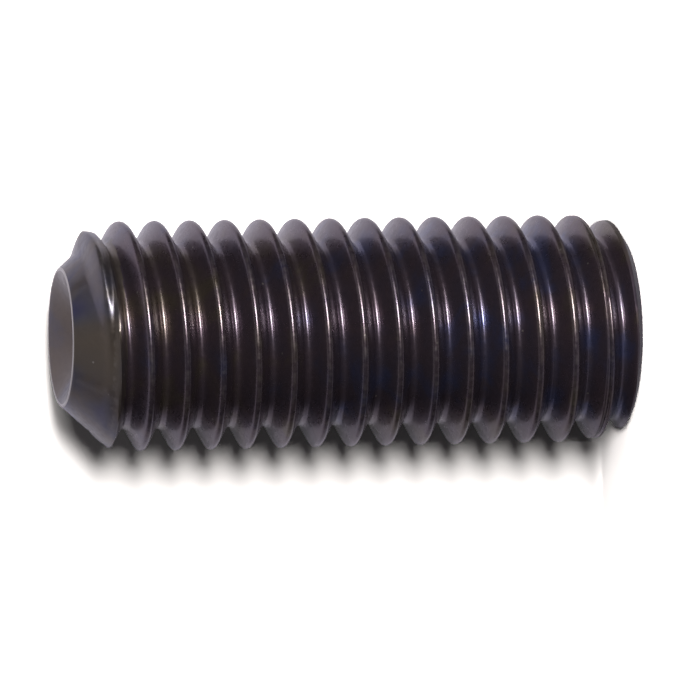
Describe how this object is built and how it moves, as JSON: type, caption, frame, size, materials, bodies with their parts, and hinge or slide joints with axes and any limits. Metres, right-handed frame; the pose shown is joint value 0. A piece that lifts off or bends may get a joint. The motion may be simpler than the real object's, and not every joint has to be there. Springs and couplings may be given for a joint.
{
  "type": "grub set screw",
  "caption": "Headless hexagon-socket set screw, fully threaded, with a cup point at one end and a chamfered flat socket end, in black-oxide steel.",
  "frame": {"origin": "middle of the flat socket-end face, on the screw's axis; the screw stands on this face", "axes": "+Z along the screw's axis from the socket end to the cup point; the hexagon's flats face +Y and -Y"},
  "size_m": [0.008, 0.008, 0.02],
  "materials": {
    "black_oxide_steel": "black oxide over rolled and turned steel, smooth and semi-bright, with faint blue, violet and straw tints"
  },
  "bodies": {
    "root": {"set_screw": "black_oxide_steel"}
  },
  "joints": []
}
